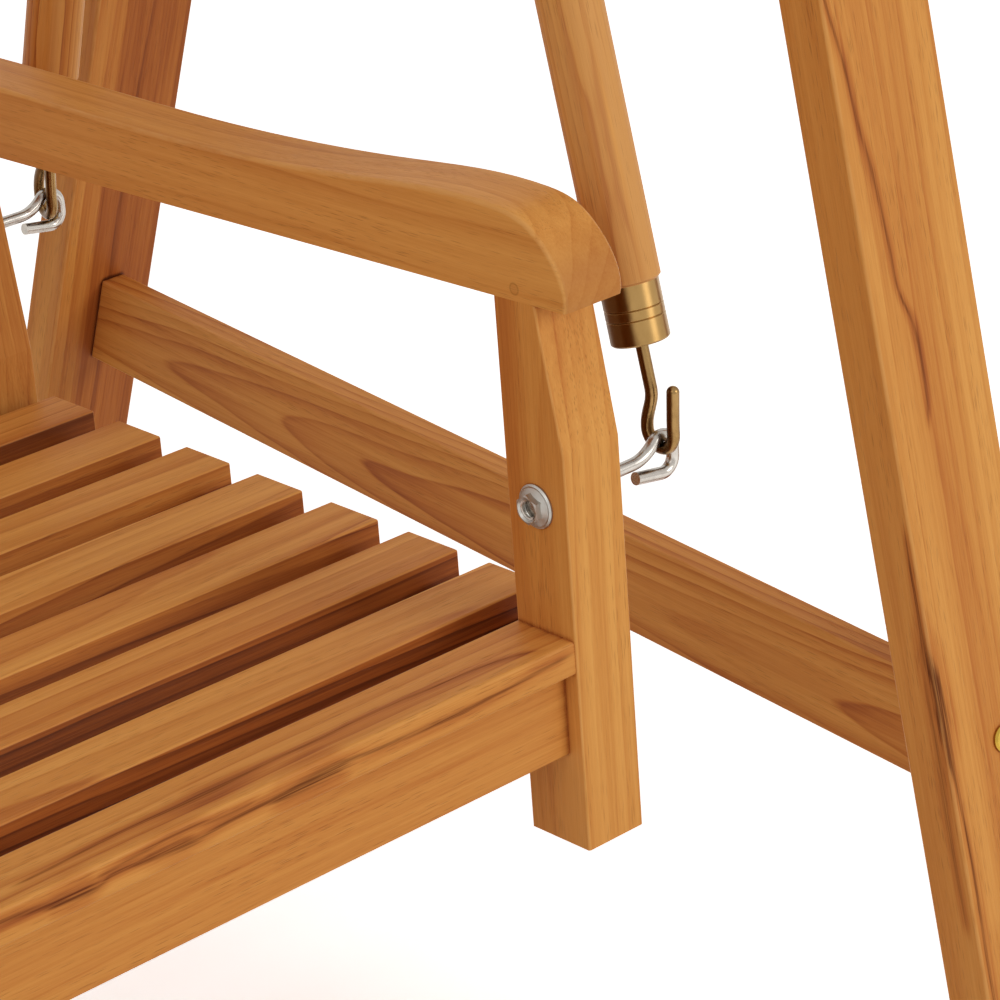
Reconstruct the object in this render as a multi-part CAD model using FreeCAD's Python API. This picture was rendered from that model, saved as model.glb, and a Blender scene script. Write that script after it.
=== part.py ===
"""Jhoola: a hardwood bench that hangs from an A-frame stand on four round wooden rods.

Lengths are millimetres, +Z is up, -Y is the front of the bench and X runs along it.
The origin is on the floor under the middle of the stand.

The bench is drawn in its own bench frame, where its posts stand upright: y runs back from
the front face of the front posts and z up from their feet. The rods of one end meet at one
top hook, so rods and bench swing as one piece. The bench is then turned about that pivot
until its centre of mass hangs straight below it, which is how it rests in use.
"""
import math
import os

import FreeCAD
import Part
from FreeCAD import Vector

# Bench: posts
seat_width = 1565.0          # between the inner faces of the posts
seat_depth = 429.9           # between the front posts and the rear posts
post_width = 35.4
front_post_depth = 39.4
kink_height = 201.0          # where the front post's front face starts to slope back
kink_setback = 12.7          # how far the face has gone back at the armrest
kink_radius = 3.0
arris = 1.2                  # rounding of the bench's edges

# Bench: seat frame
rail_bottom = 48.3           # height of the rails' underside over the feet of the posts
rail_height = 45.5
rail_thickness = 22.0
front_rail_setback = 9.1     # rail face behind the front face of the post
rear_rail_setback = 7.0
bearer_width = 24.0
bearer_count = 2             # inner bearers between the two side rails

# Bench: seat slats, the first of which is the nosing
slat_count = 8
slat_width = 36.8
slat_thickness = 15.2
slat_end_overhang = 1.5      # slat ends past the outer faces of the posts
slat_rear_gap = 14.0         # last slat to the rear posts
nosing_setback = 1.0         # nosing's front edge behind the front face of the post
nosing_width = 38.5
nosing_thickness = 17.0      # its underside lies below that of the slats
nosing_arris = 1.8
notch_clearance = 0.1        # behind the nosing, in the rails and bearers notched under it

# Bench: rear posts and backrest
rear_foot_depth = 40.0
rear_post_depth = 46.0       # at the bend
rear_top_depth = 28.0
post_end_round_share = 0.34   # rounding of the upper end over that depth
back_kink_height = 134.0     # the rear post leans back above this height
back_lean_deg = 8.5
back_length = 431.0          # of the leaning part
back_setback = 6.0           # backrest rails behind the front face of the rear posts
back_rail_thickness = 18.0
back_rail_low = 4.0          # along the leaning part
back_rail_height = 38.0
crest_low = 360.0
crest_height = 56.0
crest_rise = 14.0            # extra height in the middle of the crest rail
back_slat_count = 15
back_slat_width = 41.0
back_slat_thickness = 9.75
back_end_space_share = 0.75  # space outside the last slats, as a share of their pitch

# Bench: armrests. The profile's heights are over the underside, which slopes down to the rear
arm_under_front = 271.2
arm_under_drop = 8.7         # over the seat's depth
arm_height = 44.3
arm_overhang = 8.7           # nose past the front face of the post
arm_nose_length = 72.0       # from the nose to where the profile is highest
arm_nose_shares = ((0.012, 0.0), (0.0, 0.125), (0.054, 0.41), (0.165, 0.65), (0.37, 0.889), (0.65, 0.978),
                   (1.0, 0.998))
arm_back_shares = ((0.15, 0.914), (0.47, 0.805), (0.76, 0.868), (1.0, 0.915))
arm_arris = 2.2

# Hook bolts through the posts, and the flange nuts on their inner faces
front_bolt_height = 172.0
rear_bolt_height = 196.5
front_bolt_depth_share = 0.513   # place of the bolt in the post's depth
rear_bolt_depth_share = 0.535
steel_wire_radius = 3.2
thread_radius = 4.8
hole_clearance = 0.1
thread_into_post = 28.0
loop_reach = 45.5            # loop's middle past the outer face of the post
loop_radius = 7.2
loop_height = 19.0           # between the wire's centre lines
loop_top_rise = 8.5          # top centre line over the bolt's axis
loop_entry_deg = 46.0        # slope of the wire where it joins the loop
loop_exit_deg = 9.2          # the tail rises by this much
loop_tail = 17.0
nut_flats = 12.8
nut_height = 6.4
nut_chamfer = 0.5
nut_mouth_depth = 0.9
nut_mouth_radius = 5.9
nut_turn_deg = 4.0           # of the hexagon about the bolt
flange_radius = 10.8
flange_thickness = 1.6
flange_cone_share = 0.86
bolt_end_recess = 4.0        # end of the bolt inside the nut's mouth

# Hangers: a round rod with a brass ferrule and a hook at each end
rod_radius = 15.6
rod_chamfer = 1.2
hanger_length = 969.2        # from the foot point beside the bolt's axis to the pivot
front_foot_offset = -1.9     # foot point behind the bolt's axis
rear_foot_offset = 8.5 
ferrule_start = 55.1         # distance of the lower ferrule's end from the foot point
ferrule_length = 28.9
ferrule_radius = 14.25
ferrule_wall = 1.9
ferrule_end_wall = 4.0
ferrule_chamfer = 0.8
groove_spacing = 5.0
groove_place = 11.8          # first groove, from the wood along the ferrule
groove_width = 0.9
groove_depth = 0.45
fit_clearance = 0.05         # spigot in ferrule and wire in its hole
end_clearance = 1.0          # below the spigot and behind the wire
hook_embed = 12.0            # hook wire in the wood
top_gap = 62.0               # upper ferrule's end from the pivot
brass_wire_radius = 3.1
bowl_radius = 8.7
hook_slack = 0.02
bend_start = 32.0            # where the lower hook leaves the rod's axis
tip_length = 21.8
tip_bend = 8.0               # start of the tip, bent to its lean
front_tip_lean_deg = -4.0
rear_tip_lean_deg = -11.0
front_hook_turn_deg = 0.0    # hook turned about the upright, tip towards the post
rear_hook_turn_deg = 13.0
front_hook_drop = 0.0        # bowl below the place where the loop would bear on it
rear_hook_drop = 6.2
front_hook_set_back = 0.0    # bowl behind the bolt's axis
rear_hook_set_back = 1.8
pivot_clearance = 0.1
hook_side_gap = 0.7          # between the two top hooks on one pin
top_bend_start = 24.0
top_tip = 11.0

# Stand
leg_width = 73.2
leg_thickness = 28.4
foot_spread = 947.0          # front face of the front leg to rear face of the rear leg, on the floor
leg_top_spread = 84.72931    # the same at the beam's top
leg_gap = 159.1              # outer face of the posts to inner face of the legs
leg_arris = 2.0
pivot_height = 1425.6
beam_over_pivot = 24.0
beam_height = 74.0
beam_overhang = 32.0
brace_inset = 32.5           # inner face of the braces behind the inner face of the legs
brace_thickness = 17.0
brace_arris = 1.5
brace_low = 280.8
brace_height = 58.4
spreader_drop = 187.6        # its underside below that of the beam
spreader_height = 50.0
bolt_over_brace = 11.6       # bolt head over the middle of the brace
bolt_head_radius = 7.0
bolt_head_height = 2.2
bolt_radius = 3.0
bolt_into_end = 30.0
bolt_into_beam = 17.0
bolt_hole_clearance = 0.05
beam_bolt_spacing = 34.0
beam_bolt_drop = 40.0        # below the top of the beam
recess_flats = 5.0
recess_depth = 1.3
upright_inset = 21.0         # top hook's upright, inwards from the middle of its pin
pin_bend = 9.0
pin_end = 15.0
pin_tip = 13.0

pick_margin = 1.0            # how near an edge lies to the place where it is looked for

# kg per cubic metre, used only to find how the bench hangs
wood_density = 700.0
steel_density = 7850.0
brass_density = 8500.0

half_seat = seat_width / 2
post_outer = half_seat + post_width
beam_low = pivot_height + beam_over_pivot
beam_top = beam_low + beam_height
lean = math.atan((foot_spread - leg_top_spread) / 2 / beam_top)
spreader_low = beam_low - spreader_drop
back_lean = math.radians(back_lean_deg)
rear_post_front = front_post_depth + seat_depth
rail_top = rail_bottom + rail_height
seat_top = rail_top + slat_thickness
nosing_rear = nosing_setback + nosing_width
nosing_under = seat_top - nosing_thickness
arm_slope = -arm_under_drop / seat_depth
hang_x = post_outer + loop_reach
along_x, along_y, along_z = Vector(1, 0, 0), Vector(0, 1, 0), Vector(0, 0, 1)


def box(x0, x1, y0, y1, z0, z1):
    return Part.makeBox(x1 - x0, y1 - y0, z1 - z0, Vector(x0, y0, z0))


def slab(points, x0, x1):
    """Prism of a closed outline of (y, z) points, from x0 to x1."""
    ring = [Vector(x0, y, z) for y, z in points]
    return Part.Face(Part.makePolygon(ring + ring[:1])).extrude(Vector(x1 - x0, 0, 0))


def turned(side):
    """Solid of revolution around +Z, from a closed outline of (radius, height) points."""
    ring = [Vector(r, 0, z) for r, z in side]
    return Part.Face(Part.makePolygon(ring + ring[:1])).revolve(Vector(), along_z, 360)


def cylinder(start, direction, radius, length):
    return Part.makeCylinder(radius, length, start, direction)


def middle(edge):
    low, high = edge.ParameterRange
    return edge.valueAt((low + high) / 2)


def runs_along(edge, axis, least=0.9):
    """True for an edge whose ends lie within about 25 degrees of an axis."""
    way = edge.Vertexes[-1].Point - edge.Vertexes[0].Point
    return way.Length > 0 and abs(way.dot(axis)) > least * way.Length


def soften(shape, radius, keep=lambda edge: True):
    """Round the edges that keep() accepts."""
    edges = [edge for edge in shape.Edges if keep(edge)]
    return shape.makeFillet(radius, edges) if edges else shape


def swept(edges, radius):
    """Round wire along joined edges."""
    path = Part.Wire(edges)
    start, way = edges[0].valueAt(edges[0].FirstParameter), edges[0].tangentAt(edges[0].FirstParameter)
    ring = Part.Wire([Part.makeCircle(radius, start, way)])
    return path.makePipeShell([ring], True, False)


def line(a, b):
    return Part.makeLine(a, b)


def arc(a, mid, b):
    return Part.Arc(a, mid, b).toShape()


def blend(a, way_a, b, way_b):
    """Smooth curve from a to b with the given directions at its ends."""
    curve = Part.BSplineCurve()
    curve.interpolate(Points=[a, b], InitialTangent=way_a, FinalTangent=way_b)
    return curve.toShape()


def hexagon(flats, length, start, direction, turn_deg=0):
    corner = flats / math.sqrt(3)
    ring = [Vector(corner * math.cos(math.radians(60 * i)), corner * math.sin(math.radians(60 * i)), 0)
            for i in range(6)]
    solid = Part.Face(Part.makePolygon(ring + ring[:1])).extrude(Vector(0, 0, length))
    turn = FreeCAD.Rotation(along_z, turn_deg)
    solid.Placement = FreeCAD.Placement(start, FreeCAD.Rotation(along_z, direction).multiply(turn))
    return solid


def placed(shape, placement):
    copy = shape.copy()
    copy.Placement = placement.multiply(copy.Placement)
    return copy


def mirrored(shape):
    return shape.mirror(Vector(), along_x)


def to_rear(shape):
    return shape.mirror(Vector(), along_y)


def add_pair(nodes, name, shape):
    nodes[name + "_right"] = shape
    nodes[name + "_left"] = mirrored(shape)


def arm_under(y):
    return arm_under_front + arm_slope * y


def rear_face(z):
    """y of the rear post's front face at height z."""
    return rear_post_front + max(0.0, z - back_kink_height) * math.tan(back_lean)


def against_post(height):
    """y where a line at this height over the armrest's underside meets the rear post."""
    slope = math.tan(back_lean)
    return (rear_post_front + (arm_under_front + height - back_kink_height) * slope) / (1 - arm_slope * slope)


front_bolt = (front_bolt_depth_share * front_post_depth, front_bolt_height)
rear_bolt = (rear_face(rear_bolt_height) + rear_bolt_depth_share * rear_post_depth, rear_bolt_height)


def bolt_hole(place):
    return cylinder(Vector(half_seat, *place), along_x, thread_radius + hole_clearance, post_width)


def front_post():
    outline = [(0, 0), (front_post_depth, 0), (front_post_depth, arm_under(front_post_depth)),
               (kink_setback, arm_under(kink_setback)), (0, kink_height)]
    post = slab(outline, half_seat, post_outer)
    post = soften(post, kink_radius, lambda e: runs_along(e, along_x)
                  and abs(middle(e).z - kink_height) < pick_margin and middle(e).y < pick_margin)
    post = soften(post, arris, lambda e: not runs_along(e, along_x) and not runs_along(e, along_y))
    return post.cut(bolt_hole(front_bolt))


def rear_post():
    up, back = Vector(0, math.sin(back_lean), math.cos(back_lean)), Vector(0, math.cos(back_lean), -math.sin(back_lean))
    bend = Vector(0, rear_post_front, back_kink_height)
    top = bend + up * back_length
    corners = [Vector(0, rear_post_front, 0), Vector(0, rear_post_front + rear_foot_depth, 0),
               bend + Vector(0, rear_post_depth, 0), top + back * rear_top_depth, top, bend]
    post = slab([(c.y, c.z) for c in corners], half_seat, post_outer)
    post = soften(post, rear_top_depth * post_end_round_share, lambda e: runs_along(e, along_x)
                  and middle(e).z > top.z - rear_top_depth / 2)
    post = soften(post, arris, lambda e: not runs_along(e, along_x) and middle(e).z > pick_margin)
    return post.cut(bolt_hole(rear_bolt))


def armrest():
    """Profile drawn from the nose to the rear post, then along the underside."""
    highest = arm_nose_length - arm_overhang
    low_end, high_end = against_post(0), against_post(arm_back_shares[-1][1] * arm_height)
    shape = [(along * arm_nose_length - arm_overhang, up * arm_height) for along, up in arm_nose_shares]
    shape += [(highest + along * (high_end - highest), up * arm_height) for along, up in arm_back_shares]
    points = [Vector(half_seat, y, arm_under(y) + up) for y, up in shape]
    heel = Vector(half_seat, low_end, arm_under(low_end))
    curve = Part.BSplineCurve()
    curve.interpolate(points)
    outline = Part.Wire([curve.toShape(), line(points[-1], heel), line(heel, points[0])])
    arm = Part.Face(outline).extrude(Vector(post_width, 0, 0))
    return soften(arm, arm_arris, lambda e: e.Curve.TypeId == "Part::GeomBSplineCurve")


def nosing():
    slat = box(-half_seat, half_seat, nosing_setback, nosing_rear, nosing_under, seat_top)
    slat = soften(slat, nosing_arris, lambda e: runs_along(e, along_x) and middle(e).y < nosing_setback + pick_margin)
    return soften(slat, arris, lambda e: runs_along(e, along_x) and middle(e).y > nosing_rear - pick_margin)


def seat_slat(index):
    pitch = (rear_post_front - slat_rear_gap - nosing_rear) / (slat_count - 1)
    rear, end = nosing_rear + index * pitch, post_outer + slat_end_overhang
    return soften(box(-end, end, rear - slat_width, rear, rail_top, seat_top), arris)


def under_seat(x0, x1, y0, y1, way):
    """Rail or bearer whose two lower edges, along way, are rounded. Its top carries the slats and the nosing."""
    piece = box(x0, x1, y0, y1, rail_bottom, rail_top)
    piece = soften(piece, arris, lambda e: runs_along(e, way) and middle(e).z < rail_bottom + pick_margin)
    return piece.cut(box(x0, x1, 0, nosing_rear + notch_clearance, nosing_under, rail_top))


def seat_frame():
    front_end = front_rail_setback + rail_thickness
    rear_start = rear_post_front + rear_rail_setback
    nodes = {"seat_rail_front": under_seat(-half_seat, half_seat, front_rail_setback, front_end, along_x),
             "seat_rail_rear": under_seat(-half_seat, half_seat, rear_start, rear_start + rail_thickness, along_x)}
    add_pair(nodes, "seat_rail_side", under_seat(half_seat, half_seat + rail_thickness, front_post_depth,
                                                 rear_post_front, along_y))
    for index in range(bearer_count):
        x = (index + 1) * seat_width / (bearer_count + 1) - half_seat
        nodes["seat_bearer_%d" % (index + 1)] = under_seat(x - bearer_width / 2, x + bearer_width / 2, front_end,
                                                           rear_start, along_y)
    nodes["seat_nosing"] = nosing()
    for index in range(1, slat_count):
        nodes["seat_slat_%d" % (index + 1)] = seat_slat(index)
    return nodes


def lay_back(shape):
    """Move a piece drawn upright, with the leaning part's foot at y = 0, z = 0, onto the backrest."""
    lay = FreeCAD.Rotation(along_x, -back_lean_deg)
    return placed(shape, FreeCAD.Placement(Vector(0, rear_post_front, back_kink_height), lay))


def back_rail():
    rail = box(-half_seat, half_seat, back_setback, back_setback + back_rail_thickness,
               back_rail_low, back_rail_low + back_rail_height)
    return lay_back(soften(rail, arris, lambda e: runs_along(e, along_x)))


def crest_rail():
    top = crest_low + crest_height
    corners = [Vector(x, back_setback, z) for x, z in ((-half_seat, crest_low), (half_seat, crest_low),
                                                       (half_seat, top), (-half_seat, top))]
    bow = arc(corners[2], Vector(0, back_setback, top + crest_rise), corners[3])
    outline = Part.Wire([line(corners[0], corners[1]), line(corners[1], corners[2]), bow,
                         line(corners[3], corners[0])])
    rail = Part.Face(outline).extrude(Vector(0, back_rail_thickness, 0))
    return lay_back(soften(rail, arris, lambda e: runs_along(e, along_x)))


def back_slats(first, last):
    pitch = seat_width / (back_slat_count - 1 + 2 * back_end_space_share)
    start = back_setback + (back_rail_thickness - back_slat_thickness) / 2
    pieces = []
    for index in range(first, last):
        x = (index - (back_slat_count - 1) / 2) * pitch
        piece = box(x - back_slat_width / 2, x + back_slat_width / 2, start, start + back_slat_thickness,
                    back_rail_low + back_rail_height, crest_low)
        pieces.append(lay_back(soften(piece, arris, lambda e: runs_along(e, along_z))))
    return Part.makeCompound(pieces)


def back():
    nodes = {"back_rail": back_rail(), "back_crest": crest_rail()}
    names = ("left", "middle", "right")
    cuts = [round(back_slat_count * i / len(names)) for i in range(len(names) + 1)]
    for name, first, last in zip(names, cuts, cuts[1:]):
        nodes["back_slats_" + name] = back_slats(first, last)
    return nodes


def hook_bolt(place):
    """Threaded shank, a rising bend, and a loop in the XZ plane that ends in a short tail."""
    y, z = place
    entry, out = math.radians(loop_entry_deg), math.radians(loop_exit_deg)

    def around(centre, angle):
        """Point of the loop's arc about centre, at an angle from straight up towards the outside."""
        return centre + Vector(math.sin(angle), 0, math.cos(angle)) * loop_radius

    upper = Vector(hang_x, y, z + loop_top_rise - loop_radius)
    lower = upper - Vector(0, 0, loop_height - 2 * loop_radius)
    join, right = around(upper, -entry), around(upper, math.pi / 2)
    rise = join.z - z
    bend = rise / (1 - math.cos(entry))
    start = Vector(join.x - bend * math.sin(entry), y, z)
    halfway = Vector(start.x + bend * math.sin(entry / 2), y, z + bend * (1 - math.cos(entry / 2)))
    inner = Vector(half_seat + post_width - thread_into_post, y, z)
    low_right, end = around(lower, math.pi / 2), around(lower, math.pi + out)
    tail = end + Vector(-math.cos(out), 0, math.sin(out)) * loop_tail
    path = [line(inner, start), arc(start, halfway, join), arc(join, around(upper, (math.pi / 2 - entry) / 2), right),
            line(right, low_right), arc(low_right, around(lower, (math.pi * 3 / 2 + out) / 2), end), line(end, tail)]
    thread_start = half_seat - nut_height + bolt_end_recess
    thread = cylinder(Vector(thread_start, y, z), along_x, thread_radius, inner.x - thread_start)
    return swept(path, steel_wire_radius).fuse(thread).removeSplitter()


def flange_nut(seat, way):
    """Flange nut that sits on a face at seat, with way pointing off the face."""
    corner = nut_flats / math.sqrt(3)
    flange = turned([(0, 0), (flange_radius, 0), (flange_radius, flange_thickness / 2),
                     (flange_radius - flange_thickness / 2, flange_thickness),
                     (flange_radius * flange_cone_share, flange_thickness), (nut_flats / 2, 2 * flange_thickness),
                     (0, 2 * flange_thickness)])
    body = turned([(0, 0), (corner, 0), (corner, nut_height - nut_chamfer), (corner - 2 * nut_chamfer, nut_height),
                   (0, nut_height)])
    nut = flange.fuse(body.common(hexagon(nut_flats, nut_height, Vector(), along_z, nut_turn_deg)))
    bore = thread_radius + hole_clearance
    nut = nut.cut(turned([(0, 0), (bore, 0), (bore, nut_height - nut_mouth_depth), (nut_mouth_radius, nut_height),
                          (0, nut_height)])).removeSplitter()
    return placed(nut, FreeCAD.Placement(seat, FreeCAD.Rotation(along_z, way)))


def meet(front, rear, length):
    """Point at one length above two (y, z) points."""
    run, rise = rear[0] - front[0], rear[1] - front[1]
    apart = math.hypot(run, rise)
    height = math.sqrt(length ** 2 - (apart / 2) ** 2)
    return (front[0] + rear[0]) / 2 - rise / apart * height, (front[1] + rear[1]) / 2 + run / apart * height


front_foot = (front_bolt[0] + front_foot_offset, front_bolt[1])
rear_foot = (rear_bolt[0] + rear_foot_offset, rear_bolt[1])
pivot_y, pivot_z = meet(front_foot, rear_foot, hanger_length)


def rod():
    """Wooden rod with its two spigots, around +Z from the foot point."""
    spigot = ferrule_radius - ferrule_wall - fit_clearance
    low, high = ferrule_start + ferrule_length, hanger_length - top_gap - ferrule_length
    inner = ferrule_length - ferrule_end_wall - end_clearance
    side = [(0, low - inner), (spigot, low - inner), (spigot, low), (rod_radius - rod_chamfer, low),
            (rod_radius, low + rod_chamfer), (rod_radius, high - rod_chamfer), (rod_radius - rod_chamfer, high),
            (spigot, high), (spigot, high + inner), (0, high + inner)]
    holes = [cylinder(Vector(0, 0, start), way, brass_wire_radius + fit_clearance, hook_embed + end_clearance)
             for start, way in ((low - inner, along_z), (high + inner, -along_z))]
    return turned(side).cut(holes)


def ferrule(end, way):
    """Cup with two fine grooves. Its closed end is at height end, and way points to the wood."""
    cup_floor, rim = end + way * ferrule_end_wall, end + way * ferrule_length
    inner, bore = ferrule_radius - ferrule_wall, brass_wire_radius + fit_clearance
    side = [(bore, end), (ferrule_radius - ferrule_chamfer, end), (ferrule_radius, end + way * ferrule_chamfer)]
    for place in (groove_place + groove_spacing, groove_place):
        z = rim - way * place
        side += [(ferrule_radius, z - way * groove_width / 2), (ferrule_radius - groove_depth, z),
                 (ferrule_radius, z + way * groove_width / 2)]
    side += [(ferrule_radius, rim), (inner, rim), (inner, cup_floor), (bore, cup_floor)]
    return turned(side)


def lower_hook(place, foot, axis, tip_lean, turn_deg, drop, set_back):
    """Down the rod's axis, back to the bowl, round under the bolt's loop and up to the tip."""
    loop_under = place[1] + loop_top_rise - steel_wire_radius
    bowl = Vector(0, place[0] + set_back, loop_under - hook_slack - drop - brass_wire_radius + bowl_radius)
    rearwards = FreeCAD.Rotation(along_z, -turn_deg).multVec(along_y)
    back, low, front = bowl + rearwards * bowl_radius, bowl - along_z * bowl_radius, bowl - rearwards * bowl_radius
    start = foot + axis * (ferrule_start + ferrule_end_wall + end_clearance + hook_embed)
    bend = foot + axis * bend_start
    way = rearwards * math.sin(tip_lean) + along_z * math.cos(tip_lean)
    turn = front + rearwards * (math.sin(tip_lean) * tip_bend / 2) + along_z * tip_bend
    reach = (back - bend).Length
    path = [line(start, bend), blend(bend, axis * -reach, back, along_z * -reach), arc(back, low, front),
            blend(front, along_z * tip_bend, turn, way * tip_bend), line(turn, turn + way * (tip_length - tip_bend))]
    tip = Part.makeSphere(brass_wire_radius, turn + way * (tip_length - tip_bend))
    return swept(path, brass_wire_radius).fuse(tip).removeSplitter()


def upper_hook(foot, axis, side):
    """Up the rod's axis, past one side of the pin, over it and down the other side."""
    pivot = foot + axis * hanger_length
    ring = steel_wire_radius + pivot_clearance + brass_wire_radius
    out = Vector(0, axis.z, -axis.y) * side
    start = foot + axis * (hanger_length - top_gap - ferrule_end_wall - end_clearance - hook_embed)
    bend = pivot - axis * top_bend_start
    near, top, far = pivot + out * ring, pivot + axis * ring, pivot - out * ring
    path = [line(start, bend), blend(bend, axis * top_bend_start, near, axis * top_bend_start),
            arc(near, top, far), line(far, far - axis * top_tip)]
    tip = Part.makeSphere(brass_wire_radius, far - axis * top_tip)
    return swept(path, brass_wire_radius).fuse(tip).removeSplitter()


def hanger(place, foot_place, bent, side):
    """Rod, ferrules and hooks of one hanger, in the bench frame at the right-hand end.

    bent gives the lower hook's tip lean, turn, drop and set-back. side is -1 for the front hanger and 1 for the rear one, which sit side by side on the pin.
    """
    slope = math.atan2(pivot_y - foot_place[0], pivot_z - foot_place[1])
    axis, foot = Vector(0, math.sin(slope), math.cos(slope)), Vector(0, *foot_place)
    lay = FreeCAD.Placement(foot, FreeCAD.Rotation(along_x, -math.degrees(slope)))
    cups = Part.makeCompound([ferrule(ferrule_start, 1), ferrule(hanger_length - top_gap, -1)])
    tip_lean_deg, turn_deg, drop, set_back = bent
    hooks = Part.makeCompound([lower_hook(place, foot, axis, math.radians(tip_lean_deg), turn_deg, drop, set_back),
                               upper_hook(foot, axis, side)])
    aside = side * (brass_wire_radius + hook_side_gap / 2)
    spread = math.degrees(math.atan2(aside, pivot_z - foot.z))
    set_out = FreeCAD.Placement(Vector(hang_x, 0, foot.z), FreeCAD.Rotation(along_y, spread))
    set_out = set_out.multiply(FreeCAD.Placement(Vector(0, 0, -foot.z), FreeCAD.Rotation()))
    return [placed(piece, set_out) for piece in (placed(rod(), lay), placed(cups, lay), hooks)]


def leg_face(z):
    """y of the front leg's front face at height z."""
    return z * math.tan(lean) - foot_spread / 2


def inner_face(z):
    return leg_face(z) + leg_thickness / math.cos(lean)


leg_x = post_outer + leg_gap
brace_x = leg_x + brace_inset


def between_legs(low, high, x0, x1):
    """Board whose ends are cut to the faces of the two legs."""
    return slab([(inner_face(low), low), (-inner_face(low), low), (-inner_face(high), high),
                 (inner_face(high), high)], x0, x1)


def leg_bolts(hole=False):
    """Bolts through one right-hand front leg: into the ends of two boards and into the beam."""
    into = Vector(0, math.cos(lean), -math.sin(lean))
    brace_mid, leg_mid = brace_x + brace_thickness / 2, leg_x + leg_width / 2
    places = [(brace_mid, low + height / 2 + bolt_over_brace, bolt_into_end)
              for low, height in ((brace_low, brace_height), (spreader_low, spreader_height))]
    places += [(leg_mid + way * beam_bolt_spacing / 2, beam_top - beam_bolt_drop, bolt_into_beam)
               for way in (-1, 1)]
    pieces = []
    for x, z, depth in places:
        face = Vector(x, leg_face(z), z)
        if hole:
            pieces.append(cylinder(face, into, bolt_radius + bolt_hole_clearance, leg_thickness + depth))
            continue
        head = turned([(0, 0), (bolt_head_radius, 0), (bolt_head_radius, bolt_head_height / 2),
                       (bolt_head_radius - bolt_head_height / 2, bolt_head_height), (0, bolt_head_height)])
        head = placed(head, FreeCAD.Placement(face, FreeCAD.Rotation(along_z, -into)))
        recess = hexagon(recess_flats, recess_depth, face - into * bolt_head_height, into)
        shank = cylinder(face, into, bolt_radius, leg_thickness + depth)
        pieces.append(shank.fuse(head).cut(recess).removeSplitter())
    return pieces


def stand_leg():
    outline = [(leg_face(0), 0), (inner_face(0), 0), (inner_face(beam_top), beam_top),
               (leg_face(beam_top), beam_top)]
    leg = slab(outline, leg_x, leg_x + leg_width)
    leg = soften(leg, leg_arris, lambda e: not runs_along(e, along_x) and not runs_along(e, along_y))
    return leg.cut(leg_bolts(hole=True))


def beam():
    end = leg_x + leg_width + beam_overhang
    piece = soften(between_legs(beam_low, beam_top, -end, end), arris)
    holes = leg_bolts(hole=True)
    holes += [to_rear(tool) for tool in holes]
    holes.append(cylinder(Vector(hang_x - upright_inset, 0, beam_low), along_z, thread_radius + hole_clearance,
                          beam_height))
    return piece.cut(holes + [mirrored(tool) for tool in holes])


def leg_board(low, height):
    """Brace or spreader of one end, bolted through the two legs."""
    board = soften(between_legs(low, low + height, brace_x, brace_x + brace_thickness), brace_arris)
    holes = leg_bolts(hole=True)
    return board.cut(holes + [to_rear(tool) for tool in holes])


def stand_bolts():
    front = leg_bolts()
    return Part.makeCompound(front + [to_rear(piece) for piece in front])


def top_hook():
    """Threaded upright through the beam, the level pin that carries the hangers, and its upturned end."""
    upright, end = hang_x - upright_inset, hang_x + pin_end
    corner = pin_bend * (1 - math.sqrt(0.5))
    level = Vector(0, 0, pivot_height)
    first, second = level + Vector(upright, 0, pin_bend), level + Vector(upright + pin_bend, 0, 0)
    third, fourth = level + Vector(end, 0, 0), level + Vector(end + pin_bend, 0, pin_bend)
    thread_low = beam_low - nut_height - nut_chamfer
    path = [line(Vector(upright, 0, beam_low), first),
            arc(first, level + Vector(upright + corner, 0, corner), second), line(second, third),
            arc(third, level + Vector(end + pin_bend - corner, 0, corner), fourth),
            line(fourth, fourth + Vector(0, 0, pin_tip - pin_bend))]
    thread = cylinder(Vector(upright, 0, thread_low), along_z, thread_radius,
                      beam_top + nut_height - bolt_end_recess - thread_low)
    return swept(path, steel_wire_radius).fuse(thread).removeSplitter()


def top_nuts():
    x = hang_x - upright_inset
    return Part.makeCompound([flange_nut(Vector(x, 0, beam_top), along_z), flange_nut(Vector(x, 0, beam_low), -along_z)])


def swing_parts():
    nodes = seat_frame()
    nodes.update(back())
    add_pair(nodes, "post_front", front_post())
    add_pair(nodes, "post_rear", rear_post())
    add_pair(nodes, "armrest", armrest())
    front_bent = (front_tip_lean_deg, front_hook_turn_deg, front_hook_drop, front_hook_set_back)
    rear_bent = (rear_tip_lean_deg, rear_hook_turn_deg, rear_hook_drop, rear_hook_set_back)
    for end, bolt, foot, bent, side in (("front", front_bolt, front_foot, front_bent, -1),
                                        ("rear", rear_bolt, rear_foot, rear_bent, 1)):
        wood, cups, hooks = hanger(bolt, foot, bent, side)
        add_pair(nodes, "hanger_rod_" + end, wood)
        add_pair(nodes, "hanger_ferrules_" + end, cups)
        add_pair(nodes, "hanger_hooks_" + end, hooks)
        add_pair(nodes, "hook_bolt_" + end, hook_bolt(bolt))
        add_pair(nodes, "hook_nut_" + end, flange_nut(Vector(half_seat, *bolt), -along_x))
    return nodes


def stand_parts():
    nodes = {"beam": beam()}
    leg = stand_leg()
    add_pair(nodes, "leg_front", leg)
    add_pair(nodes, "leg_rear", to_rear(leg))
    add_pair(nodes, "leg_brace", leg_board(brace_low, brace_height))
    add_pair(nodes, "leg_spreader", leg_board(spreader_low, spreader_height))
    add_pair(nodes, "leg_bolts", stand_bolts())
    add_pair(nodes, "top_hook", top_hook())
    add_pair(nodes, "top_hook_nuts", top_nuts())
    return nodes


def density(name):
    if name.startswith(("hook_", "top_hook")):
        return steel_density
    if name.startswith(("hanger_ferrules", "hanger_hooks", "leg_bolts")):
        return brass_density
    return wood_density


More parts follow.
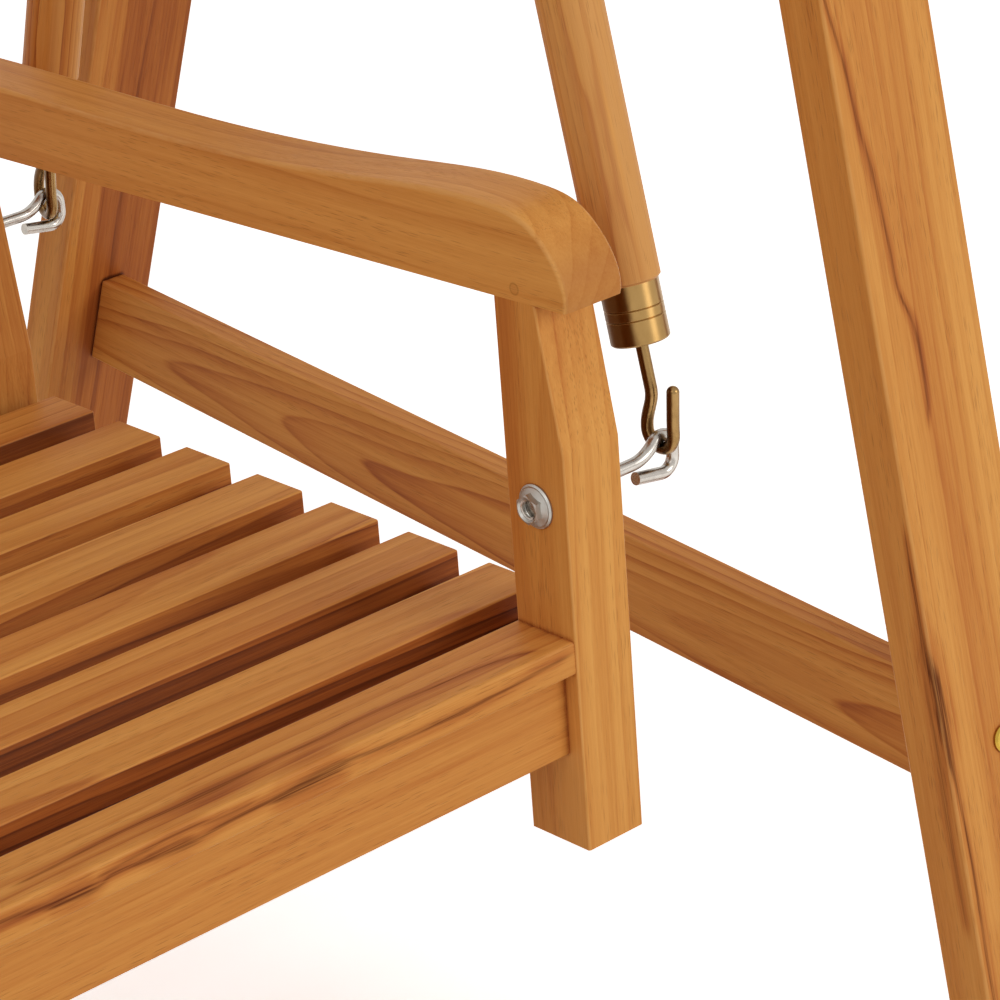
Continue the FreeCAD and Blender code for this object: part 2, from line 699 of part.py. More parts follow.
def hanging_tilt(nodes):
    """Angle in degrees that brings the bench's centre of mass below the pivot."""
    mass = moment_y = moment_z = 0.0
    for name, shape in nodes.items():
        for solid in shape.Solids:
            weight = solid.Volume * density(name)
            mass += weight
            moment_y += weight * solid.CenterOfMass.y
            moment_z += weight * solid.CenterOfMass.z
    return math.degrees(math.atan2(moment_y / mass - pivot_y, pivot_z - moment_z / mass))


def hang(nodes):
    tilt = hanging_tilt(nodes)
    print("the bench hangs at %.3f degrees" % tilt)
    to_pivot = FreeCAD.Placement(Vector(0, -pivot_y, -pivot_z), FreeCAD.Rotation())
    turn = FreeCAD.Placement(Vector(0, 0, pivot_height), FreeCAD.Rotation(along_x, -tilt))
    return {name: placed(shape, turn.multiply(to_pivot)) for name, shape in nodes.items()}


def main():
    os.makedirs("parts", exist_ok=True)
    nodes = stand_parts()
    nodes.update(hang(swing_parts()))
    for name, shape in nodes.items():
        shape.exportStep(os.path.join("parts", name + ".step"))
    print(len(nodes), "nodes")


main()
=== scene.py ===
"""Looks for the hanging bench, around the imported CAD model."""
import math

import bpy
import numpy as np
from mathutils import Matrix, Vector


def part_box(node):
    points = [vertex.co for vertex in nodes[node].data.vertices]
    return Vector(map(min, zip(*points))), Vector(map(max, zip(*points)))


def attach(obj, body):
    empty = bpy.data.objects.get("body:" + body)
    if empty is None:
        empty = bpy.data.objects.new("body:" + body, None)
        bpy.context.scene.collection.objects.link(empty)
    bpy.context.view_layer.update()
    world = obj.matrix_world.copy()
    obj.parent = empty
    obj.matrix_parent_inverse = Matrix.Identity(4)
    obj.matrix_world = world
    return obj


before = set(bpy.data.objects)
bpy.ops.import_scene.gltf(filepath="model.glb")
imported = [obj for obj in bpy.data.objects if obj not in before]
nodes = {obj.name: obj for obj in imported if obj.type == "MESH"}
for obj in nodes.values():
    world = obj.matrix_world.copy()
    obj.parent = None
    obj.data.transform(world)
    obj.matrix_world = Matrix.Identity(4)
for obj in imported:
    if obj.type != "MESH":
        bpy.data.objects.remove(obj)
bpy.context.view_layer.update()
scene = bpy.context.scene

X, Y, Z = Vector((1, 0, 0)), Vector((0, 1, 0)), Vector((0, 0, 1))
MM = 0.001

# Camera, at the photograph's viewpoint
CAMERA_PLACE = Vector((-0.2306, -1.36164, 1.2655))
CAMERA_HEADING = math.radians(-42.76)
CAMERA_DOWN = math.radians(27.30)
CAMERA_ROLL = math.radians(-0.19)
SENSOR = 36.0
FOCAL_SHARE = 3.63692
CLIP_NEAR, CLIP_FAR = 0.05, 50

# White surroundings, and two soft lamps: where from, size and level
AMBIENT = 0.60
AMBIENT_COLOUR = (1.0, 0.95, 0.89, 1.0)
LAMP_AIM = Vector((0.4, 0.0, 0.6))
LAMP_DISTANCE = 5.5
LAMPS = {
    "key": (Vector((0.40, -0.80, 0.36)), 2.4, 0.27),
    "fill": (Vector((-0.75, -0.25, 0.60)), 3.4, 0.14),
}
FLOOR_HALF = 9.0
FLOOR_SEEN = (1.72, 1.78, 1.86, 1.0)
FLOOR_LIT = (0.8, 0.8, 0.8, 1.0)

# Thread in the bores of the nuts
BORE_RADIUS = 4.9 * MM
THREAD_PITCH = 1.0 * MM
THREAD_DEPTH = 0.7 * MM
THREAD_LENGTH = 3.0 * MM
THREAD_INSET = 0.8 * MM
THREAD_RUN_IN = 6
STEPS_PER_TURN = 40

# Wood surface
WOOD_SPECULAR = 0.12
GRAIN_BUMP, GRAIN_DEPTH = 0.35, 0.4 * MM
# Painted shade in the corners where parts meet: its reach and how dark it gets
PAINTED_SHADE_REACH, PAINTED_SHADE_DARK = 3.0 * MM, 1.15
ROD_EDGE = 2.6 * MM
STREAK_REACH = 80 * MM
STREAK_FADE = 14 * MM
# Painted shade on the seat slats' sides
SLAT_SIDE_PAINTED_SHADE = 1.55
PLAIN_TAPER = 0.010

# Metal surface
METAL_BUMP, METAL_DEPTH = 0.05, 0.2 * MM
TURNED_ANISOTROPY = 0.75


def srgb(text):
    """Linear colour of a hex code."""
    parts = [int(text[i:i + 2], 16) / 255 for i in (0, 2, 4)]
    return tuple(c / 12.92 if c <= 0.04045 else ((c + 0.055) / 1.055) ** 2.4 for c in parts) + (1.0,)


# Teak from light to dark, and what lies over it
TEAK_COLOURS = [(0.0, srgb("dd9e52")), (0.22, srgb("ce8b43")), (0.42, srgb("bd7434")),
                (0.61, srgb("a25926")), (0.80, srgb("783c19")), (1.0, srgb("522610"))]
PORE_COLOUR = srgb("6b3818")
# Wear and painted highlight: the lighter colour of the arrises
WORN_AND_HIGHLIGHT_COLOUR = srgb("e2aa68")
STREAK_COLOUR = srgb("48170b")
END_COLOUR = srgb("9c5a28")
ROD_COLOUR = srgb("b98a62")


class Tree:
    """Short calls for making shader nodes. Inputs are sockets or plain values."""

    def __init__(self, tree):
        self.tree = tree

    def feed(self, socket, value):
        if isinstance(value, bpy.types.NodeSocket):
            self.tree.links.new(value, socket)
        else:
            socket.default_value = value

    def node(self, kind, inputs=(), **settings):
        made = self.tree.nodes.new(kind)
        for name, value in settings.items():
            setattr(made, name, value)
        for key, value in (inputs.items() if isinstance(inputs, dict) else enumerate(inputs)):
            self.feed(made.inputs[key], value)
        return made

    def math(self, operation, *inputs, clamp=False):
        return self.node("ShaderNodeMath", inputs, operation=operation, use_clamp=clamp).outputs[0]

    def off_middle(self, value, amount, base):
        """base + amount x (value - 0.5)."""
        return self.math("MULTIPLY_ADD", self.math("SUBTRACT", value, 0.5), amount, base)

    def vector(self, operation, *inputs):
        made = self.node("ShaderNodeVectorMath", inputs, operation=operation)
        return made.outputs["Value"] if operation in ("LENGTH", "DOT_PRODUCT") else made.outputs[0]

    def scaled(self, vector, scale):
        return self.vector("MULTIPLY", vector, scale)

    def parts(self, vector):
        return self.node("ShaderNodeSeparateXYZ", [vector]).outputs

    def noise(self, vector, seed=0.0, detail=2.0, rough=0.5, colour=False):
        made = self.node("ShaderNodeTexNoise",
                         {"Vector": vector, "W": seed, "Scale": 1.0, "Detail": detail, "Roughness": rough},
                         noise_dimensions="4D")
        return made.outputs["Color" if colour else 0]

    def smooth(self, value, low, high, to_low=0.0, to_high=1.0):
        made = self.node("ShaderNodeMapRange", {"Value": value, "From Min": low, "From Max": high,
                                                "To Min": to_low, "To Max": to_high},
                         interpolation_type="SMOOTHSTEP")
        return made.outputs[0]

    def mix(self, share, a, b):
        return self.node("ShaderNodeMix", {0: share, 6: a, 7: b}, data_type="RGBA").outputs[2]

    def ramp(self, value, stops):
        made = self.node("ShaderNodeValToRGB", [value])
        ramp = made.color_ramp
        while len(ramp.elements) < len(stops):
            ramp.elements.new(0.5)
        for element, (place, colour) in zip(ramp.elements, stops):
            element.position = place
            element.color = colour
        return made.outputs[0]

    def seen(self):
        """1 for camera, glossy and transmission rays."""
        rays = self.node("ShaderNodeLightPath").outputs
        mirrored = self.math("MAXIMUM", rays["Is Glossy Ray"], rays["Is Transmission Ray"])
        return self.math("MAXIMUM", rays["Is Camera Ray"], mirrored)


def camera():
    """Camera at the photograph's viewpoint, with its heading, tilt and roll."""
    a, e, r = CAMERA_HEADING, CAMERA_DOWN, CAMERA_ROLL
    right = Vector((math.cos(a), math.sin(a), 0))
    up = Vector((-math.sin(a) * math.sin(e), math.cos(a) * math.sin(e), math.cos(e)))
    back = Vector((math.sin(a) * math.cos(e), -math.cos(a) * math.cos(e), math.sin(e)))
    x = right * math.cos(r) + up * math.sin(r)
    y = up * math.cos(r) - right * math.sin(r)
    data = bpy.data.cameras.new("camera")
    data.sensor_width = SENSOR
    data.lens = SENSOR * FOCAL_SHARE
    data.clip_start, data.clip_end = CLIP_NEAR, CLIP_FAR
    obj = bpy.data.objects.new("camera", data)
    scene.collection.objects.link(obj)
    turn = Matrix((x, y, back)).transposed().to_4x4()
    obj.matrix_world = Matrix.Translation(CAMERA_PLACE) @ turn
    scene.camera = obj


def grey(level):
    return (level, level, level, 1.0)


def new_group(name, inputs, outputs):
    """Node group with sockets given as {label: socket type}."""
    group = bpy.data.node_groups.new(name, "ShaderNodeTree")
    for kind, items in (("INPUT", inputs), ("OUTPUT", outputs)):
        for label, socket_type in items.items():
            group.interface.new_socket(label, in_out=kind, socket_type="NodeSocket" + socket_type)
    tree = Tree(group)
    return group, tree, tree.node("NodeGroupInput").outputs, tree.node("NodeGroupOutput").inputs


def new_material(name):
    """Material, its tree and its shader's inputs."""
    made = bpy.data.materials.new(name)
    made.use_nodes = True
    return made, Tree(made.node_tree), made.node_tree.nodes["Principled BSDF"].inputs


def add_bump(t, shader, height, strength, distance):
    bump = t.node("ShaderNodeBump", {"Strength": strength, "Distance": distance, "Height": height})
    t.feed(shader["Normal"], bump.outputs[0])


def growth_rings(t, v, given):
    """Dark late wood, 0 to 1, in rings about the pith that widen towards one end."""
    seed, middle = given["Seed"], (0.5, 0.5, 0.5)
    wander = t.vector("SUBTRACT", t.noise(t.scaled(v, (2.2, 9.0, 9.0)), seed, colour=True), middle)
    bent = t.vector("ADD", v, t.scaled(wander, (0.0, 0.022, 0.022)))
    ripple = t.vector("SUBTRACT", t.noise(t.scaled(v, (14.0, 60.0, 60.0)), seed, colour=True), middle)
    bent = t.vector("ADD", bent, t.scaled(ripple, (0.0, 0.0016, 0.0016)))
    from_pith = t.scaled(t.vector("SUBTRACT", bent, given["Pith"]), (0.0, 1.0, 1.0))
    tapered = t.math("MULTIPLY", t.parts(bent)[0], given["Taper"])
    rings = t.math("DIVIDE", t.math("ADD", t.vector("LENGTH", from_pith), tapered), given["Spacing"])
    late = t.ramp(t.math("FRACT", rings),
                  [(0.0, grey(0.15)), (0.06, grey(0.0)), (0.45, grey(0.22)), (0.80, grey(0.62)),
                   (0.94, grey(1.0)), (1.0, grey(0.15))])
    year = t.node("ShaderNodeTexWhiteNoise", {"W": t.math("FLOOR", rings)}, noise_dimensions="1D")
    return t.math("MULTIPLY", late, t.math("MULTIPLY_ADD", year.outputs["Value"], 0.75, 0.25))


def open_pores(t, v, seed):
    """Short pores along the grain, thicker in some patches."""
    cells = t.node("ShaderNodeTexVoronoi",
                   {"Vector": t.scaled(v, (62.0, 1250.0, 1250.0)), "Scale": 1.0, "Randomness": 1.0},
                   feature="F1").outputs["Distance"]
    patches = t.smooth(t.noise(t.scaled(v, (9.0, 130.0, 130.0)), seed), 0.42, 0.62)
    return t.math("MULTIPLY", t.smooth(cells, 0.34, 0.12), t.math("MULTIPLY_ADD", patches, 0.75, 0.25))


def teak_group():
    """Teak with its grain along local x. Local y and z lie across the board, in metres from its middle."""
    inputs = {"Vector": "Vector", "Seed": "Float", "Pith": "Vector"}
    inputs.update(dict.fromkeys(("Taper", "Spacing", "Figure", "Tone", "Streaks", "Mark", "Halo", "ShadeAndDarkWood",
                                 "Ends", "WornAndHighlight"), "Float"))
    outputs = {"Color": "Color", "Roughness": "Float", "Height": "Float"}
    group, t, given, out = new_group("teak", inputs, outputs)
    v, seed = given["Vector"], given["Seed"]
    late = growth_rings(t, v, given)
    # Fibres, and slow changes of colour in soft bands along the grain
    fibre = t.noise(t.scaled(v, (13.0, 780.0, 780.0)), seed, 3.0, 0.6)
    fine = t.noise(t.scaled(v, (48.0, 2300.0, 2300.0)), seed, 2.0, 0.6)
    broad = t.noise(t.scaled(v, (1.5, 28.0, 28.0)), seed)
    band = t.noise(t.scaled(v, (2.4, 105.0, 105.0)), t.math("ADD", seed, 5.1), 2.0, 0.55)
    pores = open_pores(t, v, seed)
    # Place on the colour scale, 0 light to 1 dark
    place = t.math("MULTIPLY_ADD", t.math("MULTIPLY", late, given["Figure"]), 0.36, 0.20)
    place = t.off_middle(fibre, 0.39, place)
    place = t.off_middle(fine, 0.25, place)
    strength = t.math("MULTIPLY_ADD", given["Figure"], 0.50, 0.22)
    place = t.off_middle(broad, strength, place)
    place = t.off_middle(band, strength, place)
    place = t.math("ADD", place, given["Tone"])
    # Painted shade in corners and on slat sides, with the darker heartwood and bands
    place = t.math("MULTIPLY_ADD", given["ShadeAndDarkWood"], 0.42, place)
    place = t.math("MULTIPLY_ADD", given["Halo"], 0.30, place)
    colour = t.ramp(t.math("MULTIPLY", place, 0.8), TEAK_COLOURS)
    pores = t.math("MULTIPLY", pores, t.math("SUBTRACT", 1.0, given["Ends"]))
    colour = t.mix(t.math("MULTIPLY", pores, 0.34), colour, PORE_COLOUR)
    # Lighter arrises: wear and a painted highlight
    colour = t.mix(t.math("MULTIPLY", given["WornAndHighlight"], 0.42), colour, WORN_AND_HIGHLIGHT_COLOUR)
    # Dark mineral streaks along the grain
    veins = t.smooth(t.noise(t.scaled(v, (1.1, 62.0, 38.0)), seed, 3.0, 0.55), 0.62, 0.72)
    veins = t.math("MAXIMUM", t.math("MULTIPLY", veins, given["Streaks"]), given["Mark"])
    veins = t.math("MULTIPLY", veins, t.smooth(fibre, 0.25, 0.6, 0.7, 1.0))
    colour = t.mix(t.math("MULTIPLY", veins, 0.92), colour, STREAK_COLOUR)
    colour = t.mix(t.math("MULTIPLY", given["Ends"], 0.50), colour, END_COLOUR)
    rough = t.math("MULTIPLY_ADD", fibre, 0.20, 0.40)
    for mask, amount in ((pores, 0.15), (given["WornAndHighlight"], -0.12), (veins, 0.35)):
        rough = t.math("MULTIPLY_ADD", mask, amount, rough)
    height = t.math("MULTIPLY_ADD", fine, 0.5, t.math("MULTIPLY", fibre, 0.5))
    for mask, amount in ((pores, -1.2), (late, -0.25)):
        height = t.math("MULTIPLY_ADD", mask, amount, height)
    for key, value in (("Color", colour), ("Roughness", rough), ("Height", height)):
        t.feed(out[key], value)
    return group


def follow(t, share, points, column):
    """The column's value on the path at a share of its length, in metres."""
    low, high = points[0][0], points[-1][0]
    made = t.node("ShaderNodeFloatCurve", {"Value": share})
    curve = made.mapping.curves[0]
    values = [0.5 + p[column] * MM / STREAK_REACH for p in points]
    curve.points[0].location = (0.0, values[0])
    curve.points[1].location = (1.0, values[-1])
    for p, value in list(zip(points, values))[1:-1]:
        curve.points.new((p[0] - low) / (high - low), value)
    made.mapping.update()
    return t.math("MULTIPLY", t.math("SUBTRACT", made.outputs[0], 0.5), STREAK_REACH)


def path_streak(t, v, seed, points, ragged, depth):
    """A streak along the grain through points (along, side, other, half width), in millimetres."""
    low, high = points[0][0] * MM, points[-1][0] * MM
    along, side, other = t.parts(v)
    share = t.math("DIVIDE", t.math("SUBTRACT", along, low), high - low)
    off_side = t.math("SUBTRACT", side, follow(t, share, points, 1))
    off_other = t.math("SUBTRACT", other, follow(t, share, points, 2))
    off = t.math("ADD", t.math("MULTIPLY", off_side, off_side), t.math("MULTIPLY", off_other, off_other))
    off = t.math("DIVIDE", t.math("SQRT", off), follow(t, share, points, 3))
    off = t.off_middle(t.noise(t.scaled(v, (22.0, 620.0, 620.0)), seed, 4.0, 0.7), 4.2 * ragged, off)
    strands = t.noise(t.scaled(v, (17.0, 1150.0, 1150.0)), seed + 4, 2.0, 0.6)
    mask = t.math("MULTIPLY", t.smooth(off, 1.5, 0.25), t.smooth(strands, 0.34, 0.60, 0.25, 1.0))
    fade = t.math("MULTIPLY", t.smooth(t.math("SUBTRACT", along, low), 0.0, STREAK_FADE),
                  t.smooth(t.math("SUBTRACT", high, along), 0.0, STREAK_FADE))
    core = t.math("MULTIPLY", t.math("MULTIPLY", mask, fade), depth)
    return core, t.math("MULTIPLY", t.smooth(off, 5.5, 0.8), fade)


def plug_mark(t, v, place):
    """Faint round outline of a wooden plug over a screw: its centre and radius in millimetres."""
    radius = place[3] * MM
    far = t.vector("LENGTH", t.vector("SUBTRACT", v, tuple(c * MM for c in place[:3])))
    ring = t.smooth(t.math("ABSOLUTE", t.math("SUBTRACT", far, radius)), 0.9 * MM, 0.0, 0.0, 0.26)
    return t.math("MAXIMUM", ring, t.smooth(far, radius, 0.9 * radius, 0.0, 0.10))


def grain_axes(name):
    """Grain direction and two directions across, from the node's own shape, and its middle."""
    points = np.array([v.co for v in nodes[name].data.vertices], float)
    middle = (points.min(0) + points.max(0)) / 2
    spread = points - points.mean(0)
    if name.startswith("back_slats"):
        spread[:, 0] = 0
    along = Vector(np.linalg.eigh(spread.T @ spread)[1][:, -1])
    if abs(along.x) > 0.9:
        along = X.copy()
    if along.dot(X + Y + Z) < 0:
        along.negate()
    side = Y if abs(along.x) > 0.9 else X
    side = (side - along * side.dot(along)).normalized()
    return along, side, along.cross(side), Vector(middle)


def place_on(t, axes):
    """Place on the board: along the grain, side and other, from the board's middle."""
    turn = Matrix(axes[:3])
    coords = t.node("ShaderNodeTexCoord").outputs["Object"]
    return t.node("ShaderNodeMapping",
                  {"Vector": coords, "Location": -(turn @ axes[3]), "Rotation": turn.to_euler()},
                  vector_type="POINT").outputs[0]


def edge_mask(t, radius):
    """1 on the arrises, 0 on the faces."""
    rounded = t.node("ShaderNodeBevel", {"Radius": radius}, samples=4).outputs[0]
    plain = t.node("ShaderNodeNewGeometry").outputs["Normal"]
    return t.smooth(t.vector("DOT_PRODUCT", rounded, plain), 0.995, 0.90)


def streaks_on(t, v, name, seed):
    """Dark core and soft halo of the board's drawn streaks and plugs, or None."""
    pairs = [path_streak(t, v, seed + 1.7 * k, points, ragged, depth)
             for k, (ragged, depth, points) in enumerate(MARKS.get(name, ()))]
    if name in PLUGS:
        ring = plug_mark(t, v, PLUGS[name])
        pairs.append((ring, ring))
    if not pairs:
        return None
    mark, halo = pairs[0]
    for core, wide in pairs[1:]:
        mark, halo = t.math("MAXIMUM", mark, core), t.math("MAXIMUM", halo, wide)
    return mark, halo


def painted_shade_and_dark_wood(t, v, name, seed, flat):
    """Darkness from painted shade in the corners where parts meet and on a slat's sides, and from the
    board's heartwood and bands.
    """
    # Painted shade: ambient occlusion darkens the corners where parts meet
    occlusion = t.node("ShaderNodeAmbientOcclusion", {"Distance": PAINTED_SHADE_REACH}, samples=6).outputs["AO"]
    shade = t.smooth(occlusion, 0.92, 0.50, 0.0, PAINTED_SHADE_DARK)
    along, _, up = t.parts(v)
    # Painted shade on a slat's sides, darker towards their bottom
    if name.startswith("seat_slat"):
        shade_towards_bottom = t.smooth(up, 7.5 * MM, -5.0 * MM, 0.70, 1.0)
        shade = t.math("MULTIPLY_ADD", t.smooth(flat, 0.80, 0.97, 0.0, SLAT_SIDE_PAINTED_SHADE), shade_towards_bottom, shade)
    for k, (axis, at, soft, wander, slope, amount) in enumerate(HEART.get(name, ())):
        line = t.node("ShaderNodeCombineXYZ", {"X": along}).outputs[0]
        drift = t.noise(t.scaled(line, (5.0, 0.0, 0.0)), seed + 9 + k, 3.0, 0.6)
        border = t.math("MULTIPLY_ADD", along, slope, t.off_middle(drift, wander, at))
        beyond = t.math("SUBTRACT", t.parts(v)[axis], border)
        shade = t.math("ADD", shade, t.smooth(beyond, -soft, soft, 0.0, amount))
    for k, (amount, points) in enumerate(BANDS.get(name, ())):
        core = path_streak(t, v, seed + 30 + k, points, 0.22, 1.0)[0]
        shade = t.math("MULTIPLY_ADD", core, amount, shade)
    return shade


def worn_and_highlight_share(t, v, name, seed, flat):
    """Lighter arrises, worn and with a painted highlight: broken by chips on boards, and even on rods."""
    if name.startswith("hanger_rod"):
        return edge_mask(t, ROD_EDGE)
    most = next((share for start, share in WORN_AND_HIGHLIGHT.items() if name.startswith(start)), 1.0)
    edge = t.math("MULTIPLY", t.smooth(flat, 0.12, 0.40), t.smooth(flat, 0.995, 0.93))
    chips = t.noise(t.scaled(v, (60.0, 400.0, 400.0)), seed, 3.0, 0.6)
    return t.math("MULTIPLY", edge, t.smooth(chips, 0.30, 0.62, 0.35 * most, most))


def wood(name):
    """Teak for one board."""
    seed, pith, spacing, figure, tone, streaks = WOODS[name]
    made, t, shader = new_material("teak_" + name)
    axes = grain_axes(name)
    v = place_on(t, axes)
    facing = t.node("ShaderNodeTexCoord").outputs["Normal"]
    ends, flat = (t.math("ABSOLUTE", t.vector("DOT_PRODUCT", facing, tuple(axis))) for axis in axes[:2])
    values = {
        "Vector": v, "Seed": seed, "Pith": (0.0, *pith), "Taper": TAPER.get(name, PLAIN_TAPER),
        "Spacing": spacing, "Figure": figure, "Tone": tone, "Streaks": streaks,
        "Ends": t.smooth(ends, 0.55, 0.95), "WornAndHighlight": worn_and_highlight_share(t, v, name, seed, flat),
        "ShadeAndDarkWood": painted_shade_and_dark_wood(t, v, name, seed, flat),
    }
    drawn = streaks_on(t, v, name, seed)
    if drawn:
        values["Mark"], values["Halo"] = drawn
    group = t.node("ShaderNodeGroup", node_tree=TEAK)
    for key, value in values.items():
        t.feed(group.inputs[key], value)
    colour = group.outputs["Color"]
    if name.startswith("hanger_rod"):
        weathered = t.noise(t.scaled(v, (3.0, 90.0, 90.0)), seed + 2, 3.0, 0.6)
        colour = t.mix(t.smooth(weathered, 0.35, 0.60, 0.04, 0.30), colour, ROD_COLOUR)
    t.feed(shader["Base Color"], colour)
    t.feed(shader["Roughness"], group.outputs["Roughness"])
    t.feed(shader["Specular IOR Level"], WOOD_SPECULAR)
    add_bump(t, shader, group.outputs["Height"], GRAIN_BUMP, GRAIN_DEPTH)
    return made


def metal(name, clean, dull, rough, grain_scale, worn_edge, dull_share, scratch, speckle,
          painted_dark_reflection=None, turned_finish=False):
    """Plated or weathered metal: blotches of a duller colour, fine scratches, brighter worn edges, and,
    where a reflection colour is given, a painted dark reflection on one side.
    """
    clean, dull = srgb(clean), srgb(dull)
    made, t, shader = new_material(name)
    v = t.node("ShaderNodeTexCoord").outputs["Object"]
    blotch = t.noise(t.scaled(v, (140.0, 140.0, 90.0)), 1.3, 4.0, 0.6)
    speck = t.noise(t.scaled(v, (grain_scale, grain_scale, grain_scale)), 4.1, 3.0, 0.65)
    lines = t.noise(t.scaled(v, (2600.0, 2600.0, 240.0)), 2.2, 2.0, 0.6)
    share = t.math("MULTIPLY", t.smooth(blotch, 0.35, 0.68), dull_share)
    share = t.math("MULTIPLY_ADD", t.math("SUBTRACT", speck, 0.5), speckle, share, clamp=True)
    colour = t.mix(share, clean, dull)
    if painted_dark_reflection:
        # Painted reflection: the side facing about (-0.95, 0.30, 0) takes the darker colour
        facing = t.node("ShaderNodeTexCoord").outputs["Normal"]
        dark_side = t.off_middle(blotch, 0.25, t.vector("DOT_PRODUCT", facing, (-0.95, 0.30, 0.0)))
        colour = t.mix(t.smooth(dark_side, 0.42, 0.66, 0.0, 0.85), colour, srgb(painted_dark_reflection))
    edge = edge_mask(t, worn_edge)
    bright = tuple(min(1.0, 1.35 * c) for c in clean[:3]) + (1.0,)
    t.feed(shader["Base Color"], t.mix(t.math("MULTIPLY", edge, 0.45), colour, bright))
    t.feed(shader["Metallic"], 1.0)
    if turned_finish:
        t.feed(shader["Anisotropic"], TURNED_ANISOTROPY)
        t.feed(shader["Tangent"], t.node("ShaderNodeCombineXYZ", {"Z": 1.0}).outputs[0])
    level = t.off_middle(lines, scratch, t.math("MULTIPLY_ADD", share, 0.22, rough))
    t.feed(shader["Roughness"], t.math("MULTIPLY_ADD", edge, -0.06, level, clamp=True))
    add_bump(t, shader, t.math("MULTIPLY_ADD", lines, 0.5, speck), METAL_BUMP, METAL_DEPTH)
    return made


# By board: seed, pith across the board and ring spacing in metres, figure, tone, streaks
WOODS = {
    "beam": (3.1, (0.10, 0.05), 0.0060, 1.0, 0.02, 0.3),
    "leg_front_left": (5.3, (0.16, -0.06), 0.0065, 0.9, -0.04, 0.3),
    "leg_front_right": (11.2, (0.17, -0.05), 0.0100, 0.6, 0.07, 0.0),
    "leg_rear_left": (17.9, (0.12, 0.10), 0.0065, 1.0, 0.10, 0.2),
    "leg_rear_right": (23.4, (0.15, 0.07), 0.0120, 0.7, 0.08, 0.0),
    "leg_brace_left": (29.5, (0.044, 0.004), 0.0052, 1.2, 0.06, 0.0),
    "leg_brace_right": (31.7, (-0.042, 0.006), 0.0052, 1.35, 0.06, 0.1),
    "leg_spreader_left": (37.2, (0.08, 0.07), 0.0055, 1.0, 0.05, 0.0),
    "leg_spreader_right": (41.6, (0.09, 0.07), 0.0055, 1.0, 0.05, 0.0),
    "seat_rail_front": (43.3, (0.07, 0.10), 0.0090, 0.4, 0.10, 0.25),
    "seat_rail_rear": (47.8, (0.09, 0.08), 0.0060, 1.0, 0.04, 0.1),
    "seat_rail_side_left": (51.5, (0.08, 0.06), 0.0060, 1.0, 0.04, 0.0),
    "seat_rail_side_right": (53.9, (0.08, 0.06), 0.0060, 1.0, 0.04, 0.0),
    "seat_bearer_1": (57.1, (0.07, 0.06), 0.0060, 1.0, 0.04, 0.0),
    "seat_bearer_2": (59.4, (0.08, 0.05), 0.0060, 1.0, 0.04, 0.0),
    "seat_nosing": (61.2, (0.12, 0.05), 0.0090, 0.9, 0.00, 0.2),
    "seat_slat_2": (67.7, (-0.020, -0.045), 0.0062, 1.35, 0.02, 0.1),
    "seat_slat_3": (71.3, (-0.06, -0.08), 0.0075, 1.25, 0.00, 0.0),
    "seat_slat_4": (73.8, (0.012, -0.050), 0.0060, 1.30, -0.02, 0.0),
    "seat_slat_5": (79.6, (-0.09, -0.06), 0.0080, 1.25, -0.08, 0.1),
    "seat_slat_6": (83.2, (0.04, -0.08), 0.0095, 1.25, -0.06, 0.0),
    "seat_slat_7": (89.9, (-0.015, -0.055), 0.0064, 1.25, 0.00, 0.0),
    "seat_slat_8": (97.4, (0.09, -0.05), 0.0060, 1.25, 0.00, 0.0),
    "back_rail": (101.1, (0.07, 0.08), 0.0060, 1.0, 0.05, 0.1),
    "back_crest": (103.5, (0.10, 0.06), 0.0060, 1.0, 0.02, 0.1),
    "back_slats_left": (107.2, (0.02, 0.09), 0.0055, 1.0, 0.20, 0.0),
    "back_slats_middle": (109.8, (0.03, 0.08), 0.0055, 1.0, 0.20, 0.0),
    "back_slats_right": (113.3, (0.02, 0.10), 0.0055, 1.0, 0.20, 0.0),
    "post_front_left": (127.4, (0.09, 0.05), 0.0050, 0.8, 0.00, 0.1),
    "post_front_right": (131.6, (0.10, -0.03), 0.0080, 0.8, 0.00, 0.0),
    "post_rear_left": (137.2, (0.09, 0.05), 0.0050, 0.9, 0.04, 0.1),
    "post_rear_right": (139.7, (0.10, 0.05), 0.0050, 0.9, 0.06, 0.0),
    "armrest_left": (149.1, (0.10, 0.06), 0.0060, 0.9, 0.00, 0.1),
    "armrest_right": (151.9, (0.11, 0.08), 0.0080, 0.6, -0.02, 0.0),
    "hanger_rod_front_left": (157.3, (0.03, 0.04), 0.0024, 2.0, -0.24, 0.0),
    "hanger_rod_front_right": (163.8, (0.03, 0.04), 0.0024, 2.0, -0.26, 0.0),
    "hanger_rod_rear_left": (167.2, (0.03, 0.04), 0.0024, 2.0, -0.12, 0.0),
    "hanger_rod_rear_right": (173.5, (0.03, 0.04), 0.0024, 2.0, -0.08, 0.0),
}
# How fast the rings widen, for the boards that don't have PLAIN_TAPER
TAPER = {"leg_brace_right": 0.045, "leg_brace_left": 0.030, "seat_slat_2": 0.030, "seat_slat_4": 0.022,
         "seat_slat_7": 0.025, "seat_slat_5": -0.020, "back_crest": 0.030, "beam": 0.020}
# How light the worn arrises with their painted highlight are, by the start of the name, and 1 for other
# boards
WORN_AND_HIGHLIGHT = {"seat_nosing": 0.25, "seat_rail": 0.25, "seat_slat": 0.35}
